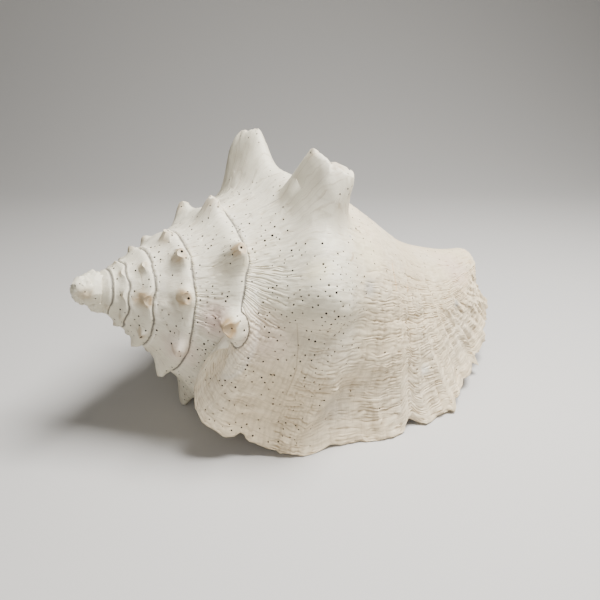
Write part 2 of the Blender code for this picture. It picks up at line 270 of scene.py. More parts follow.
# spines, in mm and degrees; places along the axis and out from it
spines = {
    # turn, reach, radius, share of the foot, half widths back, forward, to the apex and to the canal
    "big": (
        (-20.0, 72.5, 85.6, 0.20, 17.0, 25.0, 12.0, 16.0), (-26.0, 69.5, 84.5, 0.20, 12.0, 18.0, 10.0, 12.0),
        (22.5, 74.0, 87.2, 0.19, 6.5, 13.0, 6.0, 12.0), (26.5, 78.0, 88.6, 0.20, 7.0, 17.0, 6.5, 14.0),
        (28.5, 84.5, 88.0, 0.24, 8.0, 19.0, 8.0, 22.0),
    ),
    # turn, extra height, shift along the axis
    "small": (
        (-66.0, 0.5, 0.0), (-102.0, 1.0, 0.0), (-138.0, 4.4, 0.0), (-173.0, 0.5, 0.0), (-274.6, 0.6, -7.2),
        (-313.0, 2.2, 0.0), (-355.0, 1.6, 0.0), (-393.0, 1.4, 0.0), (-431.0, 1.0, 0.0), (-470.0, 1.0, 0.0),
        (-514.0, 0.0, 0.0), (-558.0, 0.5, 0.0), (-604.0, 1.0, 0.0), (-647.0, 3.2, 0.0), (-681.0, 3.4, 0.0),
        (-715.0, 1.2, 0.0), (-766.0, 1.2, 0.0), (-805.0, 1.0, 0.0), (-845.0, 1.0, 0.0), (-880.0, 0.5, 0.0),
        (-917.0, 1.2, 0.0), (-953.0, 1.8, 0.0), (-999.0, 2.0, 0.0), (-1043.0, 2.0, 0.0),
        (-1100.0, 1.5, 0.0), (-1138.0, 1.4, 0.0),
    ),
    "oldest": (-1180, -1720, -45),
    "oldestHeight": 1.1,
    "width": 12.0,
    "length": 14.0,
    "bluntness": (2.8, 2.3),      # big, small
    "bell": 0.62,                 # size of the swelling under a spine, in half widths
    "near": 60.0,                 # degrees round the axis that a spine or a swelling can reach
    "foot": 0.195,
    "forwardFoot": 0.6,
    # turn of a broken tip: how much is missing, radius and depth of its hole in mm, and how brown the hole is
    "broken": {
        -20.0: (0.5, 1.6, 0.3, 0.0), -26.0: (0.3, 1.2, 0.3, 0.0), 22.5: (1.0, 2.0, 0.3, 0.0),
        26.5: (0.8, 2.2, 0.5, 0.1), 28.5: (0.4, 1.2, 0.2, 0.1),
        -313.0: (2.4, 2.4, 1.4, 1.0), -355.0: (2.0, 3.0, 1.2, 0.15), -393.0: (2.0, 2.6, 0.6, 0.2),
        -274.6: (3.4, 3.8, 2.4, 1.6), -647.0: (2.6, 2.8, 1.6, 1.2), -681.0: (2.4, 2.8, 1.6, 0.8),
        -715.0: (2.0, 2.4, 0.6, 0.2), -999.0: (2.4, 2.8, 1.6, 1.3), -1043.0: (1.6, 1.8, 0.8, 0.6),
        -953.0: (1.4, 1.6, 0.8, 0.6), -431.0: (1.4, 1.8, 0.5, 0.3), -470.0: (1.2, 1.6, 0.5, 0.4),
        -514.0: (1.0, 1.5, 0.6, 0.6), -604.0: (1.2, 1.6, 0.8, 0.6), -766.0: (1.4, 1.6, 0.5, 0.3),
        -66.0: (1.0, 1.6, 0.6, 0.2), -102.0: (1.2, 1.8, 0.8, 0.3), -138.0: (1.2, 1.8, 0.8, 0.3),
    },
    "wornTip": (0.5, 0.9, 0.3, 0.4),      # the same of every other tip
    "kept": 0.06,                 # part of a broken tip that is left standing
}


def allSpines():
    made = [(*spine, spines["bluntness"][0]) for spine in spines["big"]]
    oldest = tuple((turn, spines["oldestHeight"], 0.0) for turn in range(*spines["oldest"]))
    for turn, height, shift in spines["small"] + oldest:
        growth, size = coil["spineGrowth"] ** (turn / 360), coil["sutureGrowth"] ** (turn / 360)
        reach, radius = coil["spineReach"] * growth + shift, coil["spineRadius"] * growth + height
        width, length = spines["width"] * size, spines["length"] * size
        forward = spines["forwardFoot"] * length
        foot, bluntness = spines["foot"], spines["bluntness"][1]
        made.append((turn, reach, radius, foot, width, width, length, forward, bluntness))
    return made


def raiseSpines(grid, turns, shares):
    # every point is pulled towards the tips near it, as strongly as their bells say
    across = acrossWay(grid)
    pull, weight = np.zeros_like(grid), np.full(grid.shape[:2], 1e-6)
    for turn, reach, radius, share, widthBack, widthFront, length, forward, bluntness in allSpines():
        tip = around(np.array(reach), np.array(radius), turn)
        row, column = np.argmin(np.abs(turns - turn)), np.argmin(np.abs(shares - share))
        foot = grid[row, column]
        near = np.abs(turns - turn) < spines["near"]
        roundWay = np.radians(turns[near] - turn)[:, None] * np.hypot(foot[1], foot[2])
        roundWay = roundWay / np.where(roundWay < 0, widthBack, widthFront)
        alongWay = across[near] - across[near, column:column + 1]
        alongWay = alongWay / np.where(alongWay < 0, length, forward)
        bell = np.exp(-(np.hypot(roundWay, alongWay) / spines["bell"]) ** bluntness)
        pull[near] += (bell ** 3)[..., None] * (tip - foot)
        weight[near] += bell ** 2
    return grid + pull / weight[..., None]


def raiseSwellings(grid, normals, turns, shares):
    across = acrossWay(grid)
    column = np.argmin(np.abs(shares - coil["shoulder"]))
    for turn, height, width in lip["swellings"]:
        row = np.argmin(np.abs(turns - turn))
        roundWay = np.linalg.norm(grid[:, column] - grid[row, column], axis=1)[:, None]
        near = np.abs(turns - turn)[:, None] < spines["near"]
        reach = np.hypot(roundWay, across - across[:, column:column + 1]) / width
        grid = grid + (height * near * np.exp(-reach ** 2))[..., None] * normals
    return grid


def breakTips(grid, turns):
    # each worn tip is cut off blunt, hollowed out, and marked for the paint
    tan = np.zeros(grid.shape[:2])
    rng = np.random.default_rng(lip["seed"])
    for turn, reach, radius, *_ in allSpines():
        cut, size, depth, brown = spines["broken"].get(turn, spines["wornTip"])
        near = np.abs(turns - turn) < 50
        part = grid[near]
        tip = around(np.array(reach), np.array(radius), turn)
        axis = unit(tip - np.array((0.82 * reach, 0.0, 0.0)))
        flat = part.reshape(-1, 3)
        top = flat[np.argmax(flat @ axis - 0.4 * np.linalg.norm(flat - tip, axis=1))]
        away = part - top
        height = away @ axis
        side = np.linalg.norm(away - height[..., None] * axis, axis=-1)
        first, second = rng.uniform(0, 6), rng.uniform(0, 6)
        wobble = 0.1 * np.sin(3.1 * part[..., 0] + first) * np.sin(2.7 * part[..., 1] + second)
        over = np.clip(height + cut + wobble * min(cut, 1.0), 0, None) * (side < 3.2 * size + 2)
        part = part - ((1 - spines["kept"]) * over)[..., None] * axis
        close = (height > -2.2 * size - cut)
        hole = np.exp(-(side / (0.62 * size)) ** 3) * close
        part = part - (depth * hole)[..., None] * axis
        grid[near] = part
        brink = np.exp(-((side - 0.8 * size) / (0.4 * size)) ** 2) * close
        tan[near] = np.maximum(tan[near], brink * (0.35 + 0.45 * brown))
        tan[near] = np.maximum(tan[near], 0.5 * brown * np.exp(-(side / size) ** 3) * close)
    return grid, tan


# the wall, and the hollow that winds in from the mouth, in mm and degrees
wall = {
    "thick": 4.6,
    "lipThick": 3.4,
    "corner": (0.02, 0.16),       # shares over which the lip is thinner where it leaves the last whorl
    "cornerTurns": (70.0, 110.0),
    "cornerThin": 0.8,            # how much thinner it is there
    "hollowStart": (-200.0, -90.0),
    "axisClearance": 0.3,
    "edgeRows": 5,
    "edgeBulge": 0.5,
}


def innerWall(grid, normals, turns, shares):
    # the hollow opens out of the axis by degrees, up to one wall's thickness under the outside
    ends = wall["thick"], wall["lipThick"]
    thick = np.interp(turns, (lip["flareTurn"], lip["lipTurn"]), ends)[:, None, None]
    corner = (1 - ease(*wall["corner"], shares))[None, :, None]
    corner = corner * ease(*wall["cornerTurns"], turns)[:, None, None]
    thick = thick * (1 - wall["cornerThin"] * corner)
    axis = np.stack(np.broadcast_arrays(grid[..., 0], 0.0, canalBend(grid[..., 0])), -1)
    hollow = ease(*wall["hollowStart"], turns)[:, None, None]
    closed = axis + unit(grid - axis) * wall["axisClearance"]
    return closed * (1 - hollow) + (grid - thick * normals) * hollow


# the line where two whorls meet, and the lip lying on the whorl below it, in mm
seams = {
    "farOff": 9.0,                # what a place has that is on no seam
    "above": 0.15,                # share up to which a whorl can meet the one above it
    "below": (0.17, 0.46),        # shares between which it can meet the one below it
    "reach": 2.4,                 # farthest from a seam that is measured, on the last whorl
    "smallest": 0.3,              # least part of that, on the oldest whorls
    "rimAt": 0.9,
    "rimWidth": 0.5,
    "rimHeight": 0.2,
    "grooveWidth": 0.35,
    "grooveDepth": 0.25,
    "layUp": 9.0,                 # how high the lip can be lifted
    "layDown": 0.6,
    "smoothings": 8,
}


def sutureDistance(grid, turns, shares):
    # height in mm over the other whorl's skin where two whorls meet: 0 on the line between them
    over = np.full(grid.shape[:2], seams["farOff"])
    upper = np.flatnonzero(shares < seams["above"])
    lower = np.flatnonzero((shares > seams["below"][0]) & (shares < seams["below"][1]))
    reach = seams["reach"] * np.clip(coil["sutureGrowth"] ** (turns / 360), seams["smallest"], 1)
    for mine, other in ((upper, lower), (lower, upper)):
        count, wide = len(grid), len(other)
        skin = BVHTree.FromPolygons(grid[:, other].reshape(-1, 3).tolist(), gridQuads(count, wide))
        for column in mine:
            for row in range(count):
                place = Vector(grid[row, column])
                hit, way, face, far = skin.find_nearest(place, reach[row])
                if hit is not None and 0 < face % (wide - 1) < wide - 2:      # none on the strip's borders
                    over[row, column] = far if (place - hit).dot(way) > 0 else -far
    return over


def layOver(grid, normals, turns, shares):
    # the lip lies on the whorl below it, except where that one's spine stands through
    rows, columns = np.flatnonzero(turns > lip["flareTurn"]), np.flatnonzero(shares < 0.2)
    below = grid[(turns > -335) & (turns < -120)][:, (shares > 0.12) & (shares < 0.55)]
    skin = BVHTree.FromPolygons(below.reshape(-1, 3).tolist(), gridQuads(*below.shape[:2]))
    raised = np.zeros(grid.shape[:2])
    for row in rows:
        for column in columns:
            way = Vector(normals[row, column])
            start = Vector(grid[row, column]) - seams["layDown"] * way
            hit, face, _, far = skin.ray_cast(start, way, seams["layUp"])
            if hit is not None and face.dot(way) > 0:
                raised[row, column] = far * (1 - ease(3.5, 7.0, far))
    raised *= ease(0.0, 0.03, shares)[None] * ease(50, 66, turns)[:, None]
    for _ in range(seams["smoothings"]):
        spread = raised.copy()
        for axis in (0, 1):
            spread = (np.roll(spread, 1, axis) + spread + np.roll(spread, -1, axis)) / 3
        raised = np.maximum(raised, spread * (turns > lip["flareTurn"])[:, None] * (shares < 0.25)[None])
    return grid + raised[..., None] * normals


# single marks raised or sunk: height, half width, points in the resting frame
marks = {
    "squareness": 1.6,
    "lines": (
        (0.5, 1.3, ((8.9, -52.3, 87.8), (9.1, -57.0, 82.3), (9.5, -59.7, 76.1))),
        (0.4, 1.1, ((2.6, -53.5, 86.0), (2.4, -57.2, 80.0))),
        (1.0, 2.2, ((6.1, -55.2, 37.5),)),
        (2.8, 4.0, ((7.6, -53.7, 31.5), (3.7, -55.3, 26.4), (-0.2, -56.5, 22.0), (-6.8, -58.0, 12.5),
                    (-12.6, -59.2, 7.4))),
        (-3.0, 7.0, ((17.0, -50.0, 27.0), (12.0, -52.0, 20.0), (5.0, -54.5, 12.0), (0.0, -56.0, 5.0))),
        (2.6, 8.0, ((6.0, -58.0, 78.0), (9.5, -60.0, 73.0))),
        (-2.0, 6.0, ((-10.0, -61.0, 62.0), (8.0, -60.0, 60.0), (24.0, -50.0, 59.0))),
        (1.8, 9.0, ((0.0, -59.0, 42.0), (14.0, -54.0, 40.0), (32.0, -42.0, 38.0))),
        (1.4, 2.6, ((80.4, 11.1, 24.6), (85.0, 13.3, 16.7), (88.4, 13.3, 10.5))),
        (1.3, 2.8, ((26.3, -43.6, 18.8), (29.4, -44.7, 9.7), (32.3, -47.4, 1.6))),
        (-0.9, 3.0, ((36.3, -34.8, 56.4), (44.2, -27.3, 51.3), (54.2, -15.3, 47.2))),
        (0.8, 1.6, ((-38.3, -59.0, 37.8), (-33.0, -59.8, 41.2), (-27.2, -59.4, 39.0))),
        (0.9, 1.7, ((-36.8, -60.5, 30.7), (-29.9, -59.5, 32.1), (-23.2, -58.8, 29.6))),
        (0.9, 1.7, ((-33.7, -59.7, 23.1), (-27.7, -58.6, 23.4), (-20.8, -58.1, 21.0))),
        (-1.5, 3.2, ((-0.1, -35.0, 118.5), (-3.5, -35.5, 112.3))),
        (1.2, 2.2, ((6.0, -34.5, 119.0), (7.8, -38.0, 110.0))),
    ),
}


def raiseMarks(grid, normals):
    for height, width, points in marks["lines"]:
        line = toShell(np.array(points) + np.array(coil["footprintMiddle"]))
        line = line if len(line) > 1 else np.repeat(line, 2, axis=0)
        near = np.linalg.norm(grid - line.mean(0), axis=2) < 3 * width + np.linalg.norm(line[0] - line[-1])
        part, best = grid[near], np.full(near.sum(), 1e9)
        for a, b in zip(line, line[1:]):
            step = np.clip((part - a) @ (b - a) / (np.dot(b - a, b - a) + 1e-9), 0, 1)
            best = np.minimum(best, np.linalg.norm(part - a - step[:, None] * (b - a), axis=1))
        rise = height * np.exp(-(best / width) ** marks["squareness"])
        grid[near] = part + rise[:, None] * normals[near]
    return grid


# what each part of the skin is like; shares of the section, turns in degrees
zones = {
    "body": (0.02, 0.2),          # past the shoulder
    "flare": (20, 90),
    "flareCorner": (0.02, 0.12),
    "cornerTurns": (60, 110),
    "covered": 0.34,              # share past which an older whorl is hidden by the next one
    "smoothRamp": (0.08, 0.2),
    "folds": (0.3, 0.75),
    "foldTurns": (10, 100),
    "edgeFolds": (95, 135),
    "ragged": (126, 134),
    "raggedShares": (0.03, 0.08),
    "lessRagged": (0.3, 0.4),
    "lined": (0.004, 0.03),
    "linedBack": (1.5, 5),        # degrees from the lip's edge over which the lining begins
    "deepShares": (0.06, 0.12),
    "deepTurns": (95, 80),
    "creamTurns": (-220, -60),
    "boredLeft": (0.26, 0.36),
    "unboredTurns": (-260, -150),
}


def zonesOf(growth, shares, over, rim, tan, pick):
    # values on the outer wall, on the inner one and on the lip's edge, for the relief, the pits and the paint
    share = shares[None]
    nominal = math.radians(1) * coil["sutureRadius"]       # mm of the last whorl's suture in a degree
    size = coil["sutureGrowth"] ** (np.minimum(growth, 0) / 360)
    low, high = zones["body"]
    body = ease(coil["shoulder"] + low, coil["shoulder"] + high, share)
    corner = ease(*zones["flareCorner"], share) * ease(*zones["cornerTurns"], growth)
    flare = ease(*zones["flare"], growth) * np.maximum(body, corner)
    shown = ~((growth < lip["lipTurn"] - 360) & (share > zones["covered"]))
    onRamp = 1.0 - 0.6 * ease(*zones["smoothRamp"], share)
    growthLines = np.where(share < coil["shoulder"], onRamp, 0.7 + 0.5 * flare)
    folds = ease(*zones["foldTurns"], growth) + 1.3 * ease(*zones["edgeFolds"], growth)
    ragged = 3.0 * ease(*zones["ragged"], growth) * ease(*zones["raggedShares"], share)
    ragged = ragged * (1 - 0.6 * ease(*zones["lessRagged"], share))
    innerShares, innerTurns = shares[pick][None, ::-1], growth[:, pick[::-1]]
    near, far = zones["linedBack"]
    lined = ease(*zones["lined"], innerShares) * ease(lip["lipTurn"] - near, lip["lipTurn"] - far, innerTurns)
    deep = np.maximum(ease(*zones["deepShares"], innerShares), ease(*zones["deepTurns"], innerTurns))
    left = 1 - ease(*zones["boredLeft"], share)
    bored = np.maximum(1 - flare, 0.35 * left)
    bored = bored * (1 - 0.9 * body * ease(*zones["unboredTurns"], growth)) + 0.02
    return {
        "growth": (growth * nominal, 0, 0),
        "spread": (share * lip["edgeLength"] + 0 * growth, 0, shares * lip["edgeLength"]),
        "growthLines": (growthLines * size ** 0.8 * shown, 0, 0),
        "cords": ((0.3 * body + 1.0 * flare) * shown, 0, 0),
        "folds": (ease(*zones["folds"], share) * folds * shown, 0, 0),
        "wear": ((size ** 0.5 + ragged) * shown, 0, 4.0),
        "inside": (0, lined * deep, 0),
        "cream": (np.maximum(body * ease(*zones["creamTurns"], growth), flare), 0, 0.6),
        "tan": (tan, 0, 0.35),
        "over": (np.where(shown, over, seams["farOff"]), seams["farOff"], seams["farOff"]),
        "rim": (rim, 0, 0),
        "bored": (bored * shown, 0, 0),
    }


def closeLip(points, outer, inner, shares, pick, last):
    # the lip's broken edge: some rows from the outer wall to the inner one, each a little in or out
    rng = np.random.default_rng(lip["seed"] + 1)
    wide = len(shares)
    innerEdge = np.stack([np.interp(shares, shares[pick], inner[-1, :, c]) for c in range(3)], -1)
    outEdge, ahead = outer[-1], unit(outer[-1] - outer[-4])
    rowStarts, rows = [last], []
    for n in range(1, wall["edgeRows"]):
        part = n / wall["edgeRows"]
        layer = rng.uniform(-0.25, 0.35, wide) * 0.5 + rng.uniform(-0.3, 0.4)
        row = outEdge + (innerEdge - outEdge) * part
        rows.append(row + (wall["edgeBulge"] * math.sin(math.pi * part) + layer)[:, None] * ahead)
        rowStarts.append(len(points) + (n - 1) * wide)
    faces = []
    for a, b in zip(rowStarts, rowStarts[1:]):
        faces += [(a + j, a + j + 1, b + j + 1, b + j) for j in range(wide - 1)]
    # the inner wall has fewer columns, so its faces take several of the edge's points
    a, b = rowStarts[-1], [last + wide + len(pick) - 1 - n for n in range(len(pick))]
    for n in range(len(pick) - 1):
        steps = list(range(pick[n], pick[n + 1] + 1))
        faces.append([a + s for s in steps] + [b[n + 1], b[n]])
    faces.append([*rowStarts, b[0]])
    faces.append([b[-1], *[start + wide - 1 for start in rowStarts[::-1]]])
    return np.concatenate([points] + rows), faces


def whorlSkin():
    # outer and inner wall as one ring of points for each turn, closed at the apex and at the lip
    plain, turns, shares, growth = outerWall()
    normals = outwardNormals(plain)
    outer = raiseSwellings(raiseSpines(plain, turns, shares), normals, turns, shares)
    outer = layOver(outer, normals, turns, shares)
    outer, tan = breakTips(raiseMarks(outer, normals), turns)
    over = sutureDistance(outer, turns, shares)
    rim = (shares[None] < seams["above"]) * np.exp(-((over - seams["rimAt"]) / seams["rimWidth"]) ** 2)
    groove = np.exp(-(over / seams["grooveWidth"]) ** 2)
    rise = seams["rimHeight"] * rim - seams["grooveDepth"] * groove
    outer = outer + rise[..., None] * outwardNormals(outer)
    pick = np.round(np.linspace(0, len(shares) - 1, coil["innerColumns"])).astype(int)
    inner = innerWall(plain, normals, turns, shares)[:, pick]
    rings = np.concatenate((outer, inner[:, ::-1]), axis=1)
    count, ring, wide = len(rings), rings.shape[1], len(shares)
    faces = gridQuads(count, ring, closed=True)
    faces += [(count * ring, (j + 1) % ring, j) for j in range(ring)]
    points = np.concatenate((rings.reshape(-1, 3), rings[0].mean(0)[None]))
    points, edgeFaces = closeLip(points, outer, inner, shares, pick, (count - 1) * ring)
    values = {}
    for name, (onOuter, onInner, onEdge) in zonesOf(growth, shares, over, rim, tan, pick).items():
        grid = np.zeros((count, ring), np.float32)
        grid[:, wide:], grid[:, :wide] = onInner, onOuter
        edge = np.tile(np.broadcast_to(onEdge, wide), wall["edgeRows"] - 1)
        values[name] = np.concatenate((grid.reshape(-1), [0.0], edge))
    # the resting frame mirrors the shell's own, so the faces are turned round
    return points, [face[::-1] for face in faces + edgeFaces], values


def tubeSkin(path, radii, sides):
    # closed tube round a path
    ahead = unit(np.gradient(path, axis=0))
    side = unit(np.cross(ahead, (0.0, 1.0, 0.0)))
    rise = np.cross(side, ahead)
    angle = np.linspace(0, 2 * math.pi, sides, endpoint=False)
    rings = path[:, None] + radii[:, None, None] * (np.cos(angle)[None, :, None] * side[:, None]
                                                    + np.sin(angle)[None, :, None] * rise[:, None])
    count = len(path)
    faces = gridQuads(count, sides, closed=True)
    faces += [(count * sides, (j + 1) % sides, j) for j in range(sides)]
    end = (count - 1) * sides
    faces += [(end + j, end + (j + 1) % sides, count * sides + 1) for j in range(sides)]
    return np.concatenate((rings.reshape(-1, 3), path[:1], path[-1:])), faces


def ballSkin(centre, radius, rounds, sides):
    # a tube whose radius rises and falls; its poles are set off a little so that no face has no size
    lift = np.cos(np.linspace(0, math.pi, rounds))
    path = np.stack((0 * lift, 0 * lift, -radius * lift), -1) + centre
    path[[0, -1]] -= np.array(((0, 0, 0.001), (0, 0, -0.001)))
    return tubeSkin(path, radius * np.sqrt(np.clip(1 - lift ** 2, 0.0004, 1)), sides)


def addNode(tree, kind, inputs=(), out=0, **settings):
    # one node with its settings and links; gives back the output that is used next
    node = tree.nodes.new(kind)
    for name, value in settings.items():
        setattr(node, name, value)
    for key, value in dict(inputs).items():
        if isinstance(value, bpy.types.NodeSocket):
            tree.links.new(value, node.inputs[key])
        else:
            node.inputs[key].default_value = value
    return node.outputs[out]


def colour(text):
    channels = [int(text[i:i + 2], 16) / 255 for i in (1, 3, 5)]
    return tuple(c / 12.92 if c <= 0.04045 else ((c + 0.055) / 1.055) ** 2.4 for c in channels) + (1.0,)


# pillar round the axis, as reach and radius, and the balls of the worn knob: reach, side, rise, radius
pillar = {
    "columella": ((60.0, 15.0), (130.0, 14.0), (165.0, 10.0), (190.0, 7.5), (212.0, 5.0)),
    "rings": 60,
    "sides": 48,
    "knob": ((3.8, 0.0, 0.0, 7.4), (-0.8, 3.2, 1.0, 4.8), (0.6, -2.5, -3.0, 5.0), (6.0, 2.0, -5.6, 4.0)),
    "knobRounds": 34,
    "knobSides": 56,
    "knobWear": 12.0,
}


def joinSkins():
    # whorls, pillar and knob as closed skins that overlap, in one mesh
    points, faces, values = whorlSkin()
    path = pillar["columella"]
    reaches = np.linspace(path[0][0], path[-1][0], pillar["rings"])
    radii = spline([reach for reach, _ in path], [radius for _, radius in path], reaches)
    tube = tubeSkin(around(reaches, 0 * reaches, 0.0), radii, pillar["sides"])
    skins = [(*tube, {"inside": 1.0, "over": seams["farOff"]})]
    for reach, side, rise, radius in pillar["knob"]:
        ball = ballSkin(np.array((reach, side, rise)), radius, pillar["knobRounds"], pillar["knobSides"])
        skins.append((*ball, {"wear": pillar["knobWear"], "bored": 1.0, "over": seams["farOff"]}))
    for more, itsFaces, given in skins:
        faces += [[index + len(points) for index in face] for face in itsFaces]
        points = np.concatenate((points, more))
        for name in values:
            values[name] = np.append(values[name], np.full(len(more), given.get(name, 0.0)))
    mesh = bpy.data.meshes.new("shell")
    mesh.from_pydata(toRest(points) * mm, [], faces)
    for name, numbers in values.items():
        mesh.attributes.new(name, "FLOAT", "POINT").data.foreach_set("value", numbers.astype(np.float32))
    return mesh


# relief that the Geometry Nodes tree raises, in mm
relief = {
    "growth line height": 0.56,
    "growth line spacing": 1.7,
    "cord height": 0.34,
    "cord spacing": 2.5,
    "fold height": 1.0,
    "fold spacing": 6.0,
    "wear height": 0.10,
    "wear size": 2.4,
    "seed": 7.0,
}


def newTree(name, sizes, materials):
    # a node tree with named inputs for its sizes and its materials
    tree = bpy.data.node_groups.new(name, "GeometryNodeTree")
    tree.interface.new_socket("Geometry", in_out="INPUT", socket_type="NodeSocketGeometry")
    for size in sizes:
        tree.interface.new_socket(size, in_out="INPUT", socket_type="NodeSocketFloat")
    for material in materials:
        tree.interface.new_socket(material, in_out="INPUT", socket_type="NodeSocketMaterial")
    tree.interface.new_socket("Geometry", in_out="OUTPUT", socket_type="NodeSocketGeometry")
    return tree, tree.nodes.new("NodeGroupInput").outputs, tree.nodes.new("NodeGroupOutput").inputs


def reliefTree():
    # growth lines, cords, folds and wear as heights along the skin's normal, from the zones' values
    tree, given, result = newTree("shell relief", relief, ("shell", "mouth"))
    add = partial(addNode, tree)
    maths, vectors = "ShaderNodeMath", "ShaderNodeVectorMath"
    field = {}
    for name in ("growth", "spread", "growthLines", "cords", "folds", "wear", "inside"):
        field[name] = add("GeometryNodeInputNamedAttribute", {"Name": name}, data_type="FLOAT")
    place = add("GeometryNodeInputPosition")
    millimetres = add(vectors, {0: place, "Scale": 1 / mm}, operation="SCALE")

    def chance(at, detail, rough):
        # soft heights of both signs, about 0
        inputs = {"Vector": at, "W": given["seed"], "Scale": 1.0, "Detail": detail, "Roughness": rough}
        height = add("ShaderNodeTexNoise", inputs, noise_dimensions="4D")
        return add(maths, {0: height, 1: 0.5}, operation="SUBTRACT")

    def streaks(main, other, spacing, stretch, detail):
        # chance heights drawn out along the other way
        length = add(maths, {0: spacing, 1: stretch}, operation="MULTIPLY")
        x = add(maths, {0: main, 1: spacing}, operation="DIVIDE")
        y = add(maths, {0: other, 1: length}, operation="DIVIDE")
        return chance(add("ShaderNodeCombineXYZ", {"X": x, "Y": y}), detail, 0.6)

    def ridges(main, other, spacing, irregular, stretch, name):
        # rounded ridges with narrow grooves between them; their strength comes and goes
        wide = add(maths, {0: spacing, 1: 2.2}, operation="MULTIPLY")
        shift = add(maths, {0: streaks(main, other, wide, stretch, 2.0), 1: irregular}, operation="MULTIPLY")
        phase = add(maths, {0: main, 1: spacing}, operation="DIVIDE")
        phase = add(maths, {0: phase, 1: shift}, operation="ADD")
        wave = add(maths, {0: phase, 1: math.pi}, operation="MULTIPLY")
        wave = add(maths, {0: wave}, operation="SINE")
        wave = add(maths, {0: wave}, operation="ABSOLUTE")
        patch = add(maths, {0: spacing, 1: 1.5}, operation="MULTIPLY")
        strength = add(maths, {0: streaks(main, other, patch, 1.4 * stretch, 1.0), 1: 0.42}, operation="ADD")
        strength = add(maths, {0: strength, 1: 0.05}, operation="MAXIMUM")
        strength = add(maths, {0: strength, 1: field[name]}, operation="MULTIPLY")
        groove = add(maths, {0: 1.0, 1: wave}, operation="SUBTRACT")
        groove = add(maths, {0: groove, 1: 1.6}, operation="POWER")
        groove = add(maths, {0: groove, 1: strength}, operation="MULTIPLY")
        return add(maths, {0: groove, 1: -2.2}, operation="MULTIPLY"), groove

    sway = chance(add(vectors, {0: millimetres, "Scale": 0.09}, operation="SCALE"), 2.0, 0.5)
    growth = add(maths, {0: sway, 1: 9.0}, operation="MULTIPLY")
    growth = add(maths, {0: field["growth"], 1: growth}, operation="ADD")
    spread = add(maths, {0: sway, 1: 7.0}, operation="MULTIPLY")
    spread = add(maths, {0: field["spread"], 1: spread}, operation="ADD")
    lines, lineGroove = ridges(growth, spread, given["growth line spacing"], 2.6, 20.0, "growthLines")
    cords, cordGroove = ridges(spread, growth, given["cord spacing"], 2.0, 12.0, "cords")

    folds = add(maths, {0: field["folds"], 1: 4.0}, operation="MULTIPLY")
    waves = streaks(spread, growth, given["fold spacing"], 7.0, 0.0)
    folds = add(maths, {0: waves, 1: folds}, operation="MULTIPLY")

    # broader steps where the shell stopped growing for a while
    stepSpacing = add(maths, {0: given["growth line spacing"], 1: 3.2}, operation="MULTIPLY")
    steps = streaks(growth, spread, stepSpacing, 12.0, 1.0)
    steps = add(maths, {0: steps, 1: field["growthLines"]}, operation="MULTIPLY")
    steps = add(maths, {0: steps, 1: 2.0}, operation="MULTIPLY")
    lines = add(maths, {0: lines, 1: steps}, operation="ADD")

    density = add(maths, {0: 1.0, 1: given["wear size"]}, operation="DIVIDE")
    crumbs = chance(add(vectors, {0: millimetres, "Scale": density}, operation="SCALE"), 3.0, 0.6)
    worn = add(maths, {0: field["wear"], 1: 4.0}, operation="MULTIPLY")
    worn = add(maths, {0: crumbs, 1: worn}, operation="MULTIPLY")

    height = 0.0
    for shape, name in ((lines, "growth line"), (cords, "cord"), (folds, "fold"), (worn, "wear")):
        metres = add(maths, {0: given[name + " height"], 1: mm}, operation="MULTIPLY")
        part = add(maths, {0: shape, 1: metres}, operation="MULTIPLY")
        height = add(maths, {0: height, 1: part}, operation="ADD")
    # the grooves' depth is kept for the painted shade in them
    kept = given["Geometry"]
    for name, value in (("lineGroove", lineGroove), ("cordGroove", cordGroove)):
        inputs = {"Geometry": kept, "Name": name, "Value": value}
        kept = add("GeometryNodeStoreNamedAttribute", inputs, data_type="FLOAT", domain="POINT")
    offset = add(vectors, {0: add("GeometryNodeInputNormal"), "Scale": height}, operation="SCALE")
    moved = add("GeometryNodeSetPosition", {"Geometry": kept, "Offset": offset})
    real = add("GeometryNodeRealizeInstances", {"Geometry": moved})
    coated = add("GeometryNodeSetMaterial", {"Geometry": real, "Material": given["shell"]})
    lined = add(maths, {0: field["inside"], 1: 0.5}, operation="GREATER_THAN")
    inputs = {"Geometry": coated, "Selection": lined, "Material": given["mouth"]}
    tree.links.new(add("GeometryNodeSetMaterial", inputs), result[0])
    return tree


